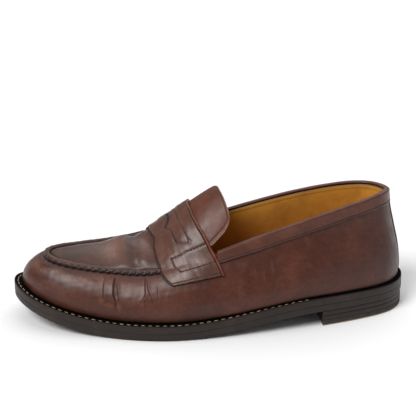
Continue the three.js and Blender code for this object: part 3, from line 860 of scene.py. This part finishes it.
def apron_roll():
    """The roll of leather along the seam, pinched by each of its stitches."""
    u = ROLL_U
    beat = (0.5 + 0.5 * np.cos(2 * math.pi * seam_phase(u)))[:, None]
    taper = smooth(np.minimum(u - ROLL_START, ROLL_STOP - u) / 0.006 + 0.25)
    centre = rim(u, 2.0, 0.75 * taper - 0.5 * (1 - taper))
    angle = np.arange(28) * math.pi / 14
    cos, sin = np.cos(angle)[None], np.sin(angle)[None]
    pinch = 1 - 0.16 * smooth((cos - 0.25 * sin) / 1.1) * beat - 0.04 * beat
    girth = pinch * (1 + 0.05 * ripple(centre, 9.0, 11)[:, None])
    wide = 2.55 * taper[:, None] ** 0.5 * girth
    high = 1.75 * taper[:, None] * girth
    rings = centre[:, None] + outwards(u)[:, None] * (cos * wide)[..., None]
    rings += upright(u)[:, None] * (sin * high)[..., None]
    inner_edge = smooth((-cos - 0.55) / 0.35) * smooth((0.35 - sin) / 0.5)
    outer_edge = smooth((cos - 0.72) / 0.2) * smooth((0.25 - sin) / 0.5)
    shade = strongest(0.95 * inner_edge, 0.9 * outer_edge, 0.45 * bump((u - 0.5) / 0.03)[:, None],
                      0.4 * (1 - beat) * smooth((cos - 0.2) / 0.6))
    toe = bump((u - 0.46) / 0.05)[:, None]
    wear = (0.15 + 0.3 * toe) * smooth((sin - 0.35) / 0.5) * smooth((cos + 0.75) / 0.6)
    return loft("apron_seam_roll", rings, roll_leather, masks={"shade": shade, "wear": wear})


finish_piece(apron_roll(), "roll_leather", "apron_roll")

u = np.linspace(ROLL_START + 0.004, ROLL_STOP - 0.004, 1400)
for name, row, thread, dash, sink, lean in (
        ("apron_seam", (rim(u, -0.1, 0.35), outwards(u, 0.55)), seam_thread, 2.8, 0.35, 0.5),
        ("apron_seam_inside", (rim(u, 4.1, 0.9), outwards(u, -0.8) * -1), dark_thread, 2.6, 0.3, 0.9)):
    finish_piece(stitches(name, [row], thread, SEAM_PITCH, dash, 0.62, sink, lean), "roll_leather")
# A black bead of painted shadow in the groove under the seam's stitches
path = rim(u, -0.05, 0.1)
groove = swept("apron_seam_groove_shadow", path, outwards(u), upright(u), gap_shadow_and_ink, (0.6, 0.65), sides=10)
finish_piece(groove, "roll_leather")


def apron():
    toe, back, inset = 0.49985, 0.289, 3.4
    u, w = grid(toe - (toe - back) * np.linspace(0, 1, 300), np.linspace(0, 1, 111))

    def surface(a, b):
        return top(a, b, inset)

    p = surface(u, w)
    d = np.full(p.shape[:2], np.inf)
    for q in rim(np.linspace(0.27, 0.73, 500), inset):
        d = np.minimum(d, np.linalg.norm(p - q, axis=-1))
    drop = 1.5 * bump(d / 1.7)
    folds = 0.10 * ripple(p * np.array([1.0, 0.35, 1.0]), 13.0, 21) + 0.05 * ripple(p, 6.0, 22)
    x = p[..., 0]
    worn = (1.3 * bump((x + 65) / 5.0) - 1.1 * bump((x + 56) / 3.6) + 0.5 * bump((x + 49) / 3.5)
            - 0.6 * bump((x + 80) / 7.0)) * (0.35 + 0.65 * bump((w - 0.4) / 0.3))
    move = -0.1 - drop + (folds + worn) * smooth(d / 6)
    # Painted shade along the seam, in a valley of the folds and towards the toe
    shade = strongest(bump(d / 1.5), 0.45 * bump((d - 1.5) / 2.5), 0.28 * bump((x + 59) / 4.0),
                      0.4 * bump((x + 105) / 13.0) * bump((w - 0.35) / 0.5))
    # Painted highlight: a sheen on the apron's rising folds
    sheen = 0.36 * bump((x + 71) / 8.0) * bump((w - 0.48) / 0.34)
    sheen += 0.16 * bump((x + 49) / 4.0) * bump((w - 0.45) / 0.3)
    outer = p + normal(surface, np.minimum(u, 0.497), w) * move[..., None]
    inner = raised(p[..., :2], p[..., 2] - 1.6 - drop)
    masks = {"shade": shade, "painted_sheen_and_pale_edge": sheen}
    return thick_sheet("apron_leather_top", outer, inner, apron_leather, masks=masks)


finish_piece(apron(), "apron_leather", "apron")

# ---------- strap ----------

# Edges of the strap, as (q, place along the shoe): its front with a lobe in the middle, and its back
FRONT_EDGE = np.array([(0.0, -32.0), (0.045, -34.6), (0.093, -36.9), (0.17, -38.8), (0.251, -40.1),
                       (0.321, -42.0), (0.394, -42.5), (0.435, -41.9), (0.459, -41.3), (0.50, -42.8),
                       (0.574, -44.6), (0.62, -45.0), (0.66, -44.0), (0.70, -45.4), (0.76, -45.6),
                       (0.84, -43.5), (0.92, -40.0), (1.0, -36.0)])
BACK_EDGE = np.array([(0.0, 4.6), (0.1, 2.2), (0.228, -0.9), (0.285, -5.2), (0.339, -9.3), (0.405, -12.7),
                      (0.516, -15.2), (0.6, -14.6), (0.68, -12.0), (0.76, -7.5), (0.85, -3.0), (1.0, 1.0)])
# The cut-out slot, in the same coordinates
SLOT = np.array([(0.3096, -18.4), (0.3240, -18.1), (0.3859, -20.9), (0.4642, -23.2), (0.55, -24.2),
                 (0.636, -23.2), (0.714, -20.9), (0.776, -18.1), (0.79, -18.4),
                 (0.763, -25.9), (0.75, -26.6), (0.677, -28.9), (0.65, -31.2), (0.6375, -32.5), (0.62, -31.6),
                 (0.606, -30.1), (0.55, -29.5),
                 (0.494, -30.1), (0.480, -31.6), (0.4625, -32.5), (0.45, -31.2), (0.4232, -28.9),
                 (0.354, -26.8), (0.337, -25.9)])
# Millimetres on the strap per unit of q and per millimetre along the shoe
STRAP_SCALE = np.array([122.0, 1.2])
# Rows of stitches on the strap, and a small curl pressed beside the slot
BOX_ROWS = [
    [(0.276, -6.6), (0.2833, -30.9)], [(0.2833, -30.9), (0.1389, -24.6)], [(0.1389, -24.6), (0.1512, -0.5)],
    [(0.724, -8.5), (0.7167, -33.0)], [(0.7167, -33.0), (0.861, -27.5)], [(0.861, -27.5), (0.849, -4.0)],
    [(0.027, -31.0), (0.027, 2.6)], [(0.973, -35.0), (0.973, -0.5)],
]
CURL = [(0.322, -17.6), (0.309, -15.8), (0.300, -16.4), (0.298, -17.4)]
TABLE_U = np.linspace(0.235, 0.35, 60)
TABLE_Q = np.linspace(0, 1, 301)
TABLE_X = band(TABLE_U[None, :], TABLE_Q[:, None])[..., 0]


def strap_u(q, x):
    """The u of places on the strap given by q and their place along the shoe."""
    q, x = paired(q, x)
    k = np.clip(q * (len(TABLE_Q) - 1), 0, len(TABLE_Q) - 1.001)
    i = k.astype(int)
    share = (k - i)[..., None]
    rows = TABLE_X[i] * (1 - share) + TABLE_X[i + 1] * share
    below = np.clip((rows > x[..., None]).sum(-1) - 1, 0, len(TABLE_U) - 2)[..., None]
    a = np.take_along_axis(rows, below, -1)[..., 0]
    b = np.take_along_axis(rows, below + 1, -1)[..., 0]
    return TABLE_U[below[..., 0]] + (TABLE_U[1] - TABLE_U[0]) * (x - a) / (b - a)


def inside(p, ring):
    """Which 2-D points lie inside a polygon."""
    x, y = p[..., 0], p[..., 1]
    within = np.zeros(x.shape, bool)
    for (x1, y1), (x2, y2) in zip(ring, np.roll(ring, -1, 0)):
        crosses = (y1 > y) != (y2 > y)
        with np.errstate(divide="ignore", invalid="ignore"):
            at = (x2 - x1) * (y - y1) / (y2 - y1) + x1
        within ^= crosses & (x < at)
    return within


def softened(line, width):
    """An edge's places along the shoe as a smooth function of q."""
    q = np.linspace(0, 1, 400)
    x = np.interp(q, *line.T)
    return q, blurred(lambda shift: np.interp(q + shift, q, x), width)


STRAP_FRONT = softened(FRONT_EDGE, 0.006)
STRAP_BACK = softened(BACK_EDGE, 0.012)


def strap_ends(q):
    """The front and the back of the strap, as places along the shoe."""
    return np.interp(q, *STRAP_FRONT), np.interp(q, *STRAP_BACK)


def strap_lift(q, x):
    """The strap lies closer to the shoe towards its front edge."""
    front, back = strap_ends(q)
    return -0.9 * (1 - smooth((x - front) / (back - front) / 0.5))


def strap_face_relief(flat, edges, rows, ring):
    """How far the strap's face moves at its slot, its stitch rows and its edges, and how dark it is there."""
    to_slot, _ = nearest(flat, ring)
    move = 0.2 * bump((to_slot - 2.4) / 2.0) - 0.15 * bump(to_slot / 0.8)
    shade = 0.5 * bump(to_slot / 0.45)
    for line, dark in rows:
        to_row, _ = nearest(flat, np.array(line) * STRAP_SCALE)
        move -= 0.25 * bump(to_row / 0.6)
        shade = np.maximum(shade, dark * bump(to_row / 0.45))
    from_front, from_back, from_ends = edges
    shade = strongest(shade, 0.9 * bump(from_front / 0.4), 0.95 * bump(from_back / 0.55),
                      0.8 * bump(from_ends / 0.4))
    edge = np.minimum(np.minimum(from_front, from_back), from_ends)
    return move - 0.5 * bump(np.clip(edge, 0, None) / 0.5), shade


def strap_sheet(name, q, steps, front_cut, low, high, slot=None, nodes=()):
    """A layer of the strap between two heights, its front edge moved in. Its slot is open in the face, and
    filled in the leather that shows through."""
    q, t = grid(q, np.linspace(0, 1, steps))
    front, back = strap_ends(q)
    front, back = front + front_cut / STRAP_SCALE[1], back - 1.4 / STRAP_SCALE[1]
    x = front + (back - front) * t
    keep, move = None, 0 * q
    from_front = (x - front) * STRAP_SCALE[1]
    # Painted shadow under the face's front edge
    shade = 0.85 * bump((from_front - 1.25) / 0.5)
    if slot:
        flat = np.stack([q, x], -1) * STRAP_SCALE
        ring = SLOT * STRAP_SCALE
        closed = np.concatenate([ring, ring[:1]])
        within = inside((flat[:-1, :-1] + flat[1:, :-1] + flat[1:, 1:] + flat[:-1, 1:]) / 4, ring)
        keep = within if slot == "filled" else ~within
        drawn = np.pad(keep.astype(int), 1)
        drawn = drawn[:-1, :-1] + drawn[1:, :-1] + drawn[1:, 1:] + drawn[:-1, 1:]
        rimmed = (drawn > 0) & (drawn < 4)
        rimmed[[0, -1]] = rimmed[:, [0, -1]] = False
        flat[rimmed] = nearest(flat[rimmed], closed)[1]
        q, x = flat[..., 0] / STRAP_SCALE[0], flat[..., 1] / STRAP_SCALE[1]
        edges = from_front, (back - x) * STRAP_SCALE[1], np.minimum(q, 1 - q) * STRAP_SCALE[0]
        move, shade = strap_face_relief(flat, edges, [(row, 0.5) for row in BOX_ROWS] + [(CURL, 0.3)], closed)
    u = strap_u(q, x)
    base = band(u, q)
    away = normal(band, u, q, 2e-3)
    lift = strap_lift(q, x)
    if slot:
        move += 0.14 * ripple(base, 16.0, 31) + 0.04 * ripple(base, 5.0, 33)
    outer = base + away * (high + move + lift)[..., None]
    inner = base + away * (low + lift)[..., None]
    sheet = thick_sheet(name, outer, inner, strap_leather, keep, {"shade": shade})
    finish_piece(sheet, "strap_leather", *nodes)


strap_sheet("strap_face", np.linspace(0.004, 0.996, 520), 160, 1.5, 1.2, 2.5, "open", ["saddle_strap"])
strap_sheet("strap_slot_leather", np.linspace(0.29, 0.81, 260), 160, 1.5, 1.1, 2.15, "filled")
strap_sheet("strap_under_layer", np.linspace(0, 1, 300), 90, 0.0, -0.2, 1.15)


def strap_line(name, places, height, wide, high, taper=2.5):
    """A thin dark line on the strap through (q, place along the shoe), which tapers off at its two ends:
    painted shadow in a gap, partly ink on a cut edge.
    """
    places = np.array(places, float)
    s = along(places * STRAP_SCALE)
    fine = np.linspace(0, s[-1], max(12, int(s[-1] / 0.5)))
    place = sampled(places, s, fine)
    for _ in range(4):
        place[1:-1] = (place[:-2] + 2 * place[1:-1] + place[2:]) / 4
    q, x = place.T
    u = strap_u(q, x)
    up = normal(band, u, q, 2e-3)
    path = band(u, q) + up * (height + strap_lift(q, x))[..., None]
    size = np.sqrt(np.clip(np.minimum(fine, s[-1] - fine) / taper, 0.02, 1))
    radii = np.stack([wide * size, high * size], -1)
    finish_piece(swept(name, path, sideways(path, up), up, gap_shadow_and_ink, radii, sides=8), "strap_leather")


def sideways(path, up):
    """The ways across a path, along the surface that it lies on."""
    across = np.cross(np.gradient(path, axis=0), up)
    return across / np.linalg.norm(across, axis=-1, keepdims=True)


# Dark lines of painted shadow at the slot's gaps and opening, as (places, height, half width, half height),
# each with its mirror image
SLOT_MIDDLE = 0.55
SLOT_LINES = [
    ([(0.56, -29.5), (0.52, -29.6), (0.494, -30.1), (0.480, -31.6), (0.461, -32.8)], 2.25, 1.15, 0.3),
    ([(0.458, -32.2), (0.448, -31.0), (0.4232, -28.9), (0.385, -27.7), (0.354, -26.8), (0.335, -25.6)],
     2.18, 0.48, 0.25),
    ([(0.317, -18.1), (0.3240, -18.3), (0.3859, -20.9), (0.4642, -23.2), (0.55, -24.2)], 2.22, 0.2, 0.16),
    ([(0.335, -25.6), (0.322, -22.5), (0.311, -19.0)], 2.24, 0.16, 0.12),
]
for k, (places, *sizes) in enumerate(SLOT_LINES):
    strap_line(f"slot_line_{k + 1}", places, *sizes)
    strap_line(f"slot_line_{k + 5}", [(2 * SLOT_MIDDLE - q, x) for q, x in places], *sizes)
# Painted shadow, partly edge ink, along the strap's front edge, its step and its two feet
q = np.linspace(0.004, 0.996, 160)
front, _ = strap_ends(q)
strap_line("strap_front_gap", np.stack([q, front], -1), 0.95, 0.36, 0.6, 0.4)
strap_line("strap_front_step", np.stack([q, front + 1.5 / STRAP_SCALE[1] - 0.1], -1), 1.3, 0.34, 0.5, 0.4)
for k, q in enumerate((0.003, 0.997)):
    front, back = strap_ends(q)
    foot = [(q, x) for x in np.linspace(front + 0.3, back - 0.5, 50)]
    strap_line(f"strap_foot_gap_{k + 1}", foot, 1.0, 0.35, 0.6, 0.4)


def strap_row(a, b):
    """A row of stitches over the strap between two places."""
    q, x = (np.array(a) + (np.array(b) - np.array(a)) * np.linspace(0, 1, 60)[:, None]).T
    return seam_row(band, strap_u(q, x), q, 2.32 + strap_lift(q, x))


strap_rows = [strap_row(a, b) for a, b in BOX_ROWS]
strap_seams = stitches("strap_seams", strap_rows, dark_thread, pitch=2.3, dash=1.65, radius=0.33, sink=0.2)
finish_piece(strap_seams, "strap_leather")

q = np.linspace(0.0, 1.0, 500)
path, up = seam_row(band, strap_u(q, strap_ends(q)[1] - 0.4), q, 1.75)
folded_edge = swept("strap_folded_edge", path, sideways(path, up), up, fold_leather, (0.85, 1.05))
finish_piece(folded_edge, "strap_leather")

# ---------- tongue ----------

TONGUE_TIP = 0.2490
TONGUE_SCALE = 66  # millimetres over the tongue per unit of w
# The tongue's side: place down from its tip, half width as a share of the way between the rims
TONGUE_SIDE = np.array([(0.0, 0.325), (0.3, 0.343), (0.8, 0.357), (1.6, 0.371), (3.0, 0.387), (7.0, 0.412),
                        (19.0, 0.449), (50.0, 0.465)])


def tongue_layer(name, trim, low, high, material, detailed):
    down = np.concatenate([np.linspace(0, 4, 30)[:-1], np.linspace(4, 50, 90)]) + trim
    across = np.sin(np.linspace(-0.5, 0.5, 101) * math.pi * 0.98) / math.sin(0.49 * math.pi)
    s, c = grid(down, across)
    half = np.interp(s - trim, *TONGUE_SIDE.T) - trim / TONGUE_SCALE
    w = 0.5 + half * c
    u = TONGUE_TIP + s / 1100 - 0.0021 * bump((w - 0.6) / 0.14) * np.clip(1 - s / 20, 0, 1)
    p = top(u, w)
    up = normal(top, u, w)
    masks, move = {}, 0 * s
    if detailed:
        d = np.minimum(s, (1 - np.abs(c)) * half * TONGUE_SCALE)
        move = 0.15 * ripple(p, 15.0, 41) - 0.35 * bump(d / 0.35) - 0.22 * bump((d - 1.5) / 0.45)
        masks = {"painted_sheen_and_pale_edge": 0.8 * bump(d / 0.5), "shade": 0.5 * bump((d - 1.5) / 0.4)}
    return thick_sheet(name, p + up * (high + move)[..., None], p + up * low, material, masks=masks)


tongue = tongue_layer("tongue_leather_top", 0.0, -0.9, 0.5, tongue_leather, True)
finish_piece(tongue, "tongue_leather", "tongue")
tongue_lining = tongue_layer("tongue_lining_under", 0.35, -1.9, -0.95, under_leather, False)
finish_piece(tongue_lining, "tongue_lining", "tongue_lining")

# ---------- collar, linings, back strip ----------

TOPLINE = 0.2640  # where the collar runs under the strap, as u on each side
BAND_OUT = 1.35
COLLAR_SEAM = 1.7  # from the collar's lower edge


def collar_foot(u):
    return 1 - COLLAR / rise(u)


def collar():
    u, t = grid(np.linspace(-TOPLINE, TOPLINE, 900), np.linspace(0, 1, 34))
    foot = collar_foot(u)
    v = foot + (1 - foot) * t
    height = t * COLLAR
    p = side(u, v)
    move = 0.10 * ripple(p, 18.0, 51) * smooth(height / 3)
    move -= 0.55 * bump(height / 0.45) + 0.2 * bump((height - COLLAR_SEAM) / 0.5)
    shade = np.maximum(0.95 * bump(height / 0.5), 0.6 * bump((height - COLLAR_SEAM) / 0.5))
    n = normal(side, u, v)
    return thick_sheet("collar_band", p + n * (BAND_OUT + move)[..., None], p + n * 0.3, collar_leather,
                       masks={"shade": shade})


finish_piece(collar(), "collar_leather", "collar_strip")

u = np.linspace(-TOPLINE + 0.001, TOPLINE - 0.001, 1400)
v = collar_foot(u) + (1 - collar_foot(u)) * COLLAR_SEAM / COLLAR
collar_seam = stitches("collar_seam", [seam_row(side, u, v, BAND_OUT - 0.2)], dark_thread, 2.2, 1.5, 0.3, 0.2)
finish_piece(collar_seam, "collar_leather")

u = np.linspace(-TOPLINE, TOPLINE, 900)
centre = rim(u, 0.95, 0.2)
wobble = 1 + 0.05 * ripple(centre, 12.0, 61)
topline = swept("topline_folded_edge", centre, outwards(u), upright(u), topline_leather,
                np.stack([2.1 * wobble, 0.9 * wobble], -1), sides=20)
finish_piece(topline, "collar_leather", "topline_fold")


def lining(name, start, end, deep, high):
    u, t = grid(np.linspace(start, end, 700), np.linspace(0, 1, 50))
    foot = 0.03 + (WALL + 2 * GAP) / (0.85 * rise(u))
    v = foot + (high - foot) * t
    p = side(u, v)
    n = normal(side, u, v)
    from_top = (1 - t) * rise(u)
    move = 0.25 * ripple(p, 24.0, 71) * smooth(from_top / 6) - 0.2 * bump((from_top - 2.2) / 0.4)
    shade = np.maximum(0.7 * bump(from_top / 0.7), 0.35 * bump((from_top - 2.2) / 0.4))
    return thick_sheet(name, p - n * (deep - move)[..., None], p - n * (deep + LINING), lining_leather,
                       masks={"shade": shade})


quarter_lining = lining("quarter_lining_leather", -0.288, 0.288, 2.35, 0.985)
finish_piece(quarter_lining, "lining_leather", "quarter_lining")
vamp_lining = lining("vamp_lining_leather", 0.291, 0.709, 3.5, 0.93)
finish_piece(vamp_lining, "lining_leather", "vamp_lining")

u = np.linspace(-0.282, 0.282, 1400)
path, up = seam_row(side, u, 1 - 3.4 / rise(u), -3.3)
finish_piece(stitches("lining_seam", [(path, -up)], dark_thread, 2.2, 1.5, 0.22, 0.2), "lining_leather")

# The strip up the middle of the back, and its two rows of stitches
BACK_STRIP, BACK_SEAM = 13.0, 1.4
ROUND = 720  # millimetres round the shoe at the back


def back_strip():
    half = BACK_STRIP / 2 / (2 * (LENGTH + WIDTH))
    u, v = grid(np.linspace(-half, half, 60), np.linspace(0.03, collar_foot(0.0) + 0.01, 120))
    p = side(u, v)
    d = (half - np.abs(u)) * ROUND
    move = 0.08 * ripple(p, 12.0, 81) - 0.4 * bump(d / 0.4) - 0.2 * bump((d - BACK_SEAM) / 0.4)
    shade = np.maximum(0.6 * bump(d / 0.35), 0.35 * bump((d - BACK_SEAM) / 0.4))
    n = normal(side, u, v)
    return thick_sheet("back_seam_strip", p + n * (1.15 + move)[..., None], p + n * 0.2, upper_leather,
                       masks={"shade": shade})


finish_piece(back_strip(), "upper_leather", "back_strip")
v = np.linspace(0.06, collar_foot(0.0) - 0.02, 300)
rows = [seam_row(side, np.full(300, x * (BACK_STRIP / 2 - BACK_SEAM) / ROUND), v, 1.0) for x in (-1, 1)]
finish_piece(stitches("back_strip_seams", rows, dark_thread, 2.3, 1.6, 0.25, 0.2), "upper_leather")

# ---------- foot bed ----------

BED = 2 * GAP + WALL + STIFFENER + LINING
SOCK_LOW = SOLE + 2 * GAP + WALL + INSOLE + GAP
SOCK_TOP = SOCK_LOW + SOCK


def bed(u, inset, height):
    return over(u, foot_inset(u) + BED + 1.2 + inset, height)


sock_edge = [(4, SOCK_LOW), (0.3, SOCK_LOW), (0, SOCK_LOW + 0.4), (0, SOCK_LOW + 0.8), (0.3, SOCK_TOP),
             (4, SOCK_TOP)]
sock = disc_body("sock_leather_liner", sock_edge, sock_leather, SOCK_LOW, SOCK_TOP,
                 [0, 0.2, 0.6, 0.6, 0.4, 0], bed)
finish_piece(sock, "sock_leather", "sock_liner")

# Pieces inside the shoe keep their CAD shapes
INSIDE = {
    "insole": raw_leather, "insole_rib": canvas, "cork_filler": cork, "shank_board": board, "shank": steel,
    "toe_puff": board, "heel_counter": board, "side_liner_outer": board, "side_liner_inner": board,
    "apron_lining": under_leather,
}
INSIDE.update({f"heel_nail_{k}": brass for k in range(1, 6)})
for node, material in INSIDE.items():
    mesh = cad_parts[node].data
    mesh.materials.clear()
    mesh.materials.append(material)

# ---------- floor, light and background ----------

FLOOR_SIZE, FLOOR_HEIGHT = 3, -0.0002  # in metres: half its width, and just under the sole
WORLD_STRENGTH = 0.3
LAMPS = [("key", (-0.62, -0.55, 0.88), 30, 2.4), ("top", (0.25, 0.55, 1.0), 80, 1.25)]  # way, angle, power


def studio():
    floor_mesh = bpy.data.meshes.new("floor")
    corners = [(x * FLOOR_SIZE, y * FLOOR_SIZE, 0) for x, y in ((-1, -1), (1, -1), (1, 1), (-1, 1))]
    floor_mesh.from_pydata(corners, [], [(0, 1, 2, 3)])
    floor_mesh.materials.append(Shader("floor").set(Base_Color=(0.93, 0.93, 0.93, 1), Roughness=0.9))
    floor = put("floor", floor_mesh)
    floor.location.z = FLOOR_HEIGHT
    world = bpy.data.worlds.new("world")
    world.use_nodes = True
    world.node_tree.nodes["Background"].inputs["Color"].default_value = (1, 1, 1, 1)
    world.node_tree.nodes["Background"].inputs["Strength"].default_value = WORLD_STRENGTH
    bpy.context.scene.world = world
    for name, toward, angle, power in LAMPS:
        light = bpy.data.lights.new(name, "SUN")
        light.angle, light.energy = math.radians(angle), power
        lamp = put(name, light)
        lamp.rotation_mode = "QUATERNION"
        lamp.rotation_quaternion = Vector(toward).to_track_quat("Z", "Y")
    bpy.context.scene.view_settings.view_transform = "Standard"


studio()

bpy.context.view_layer.update()
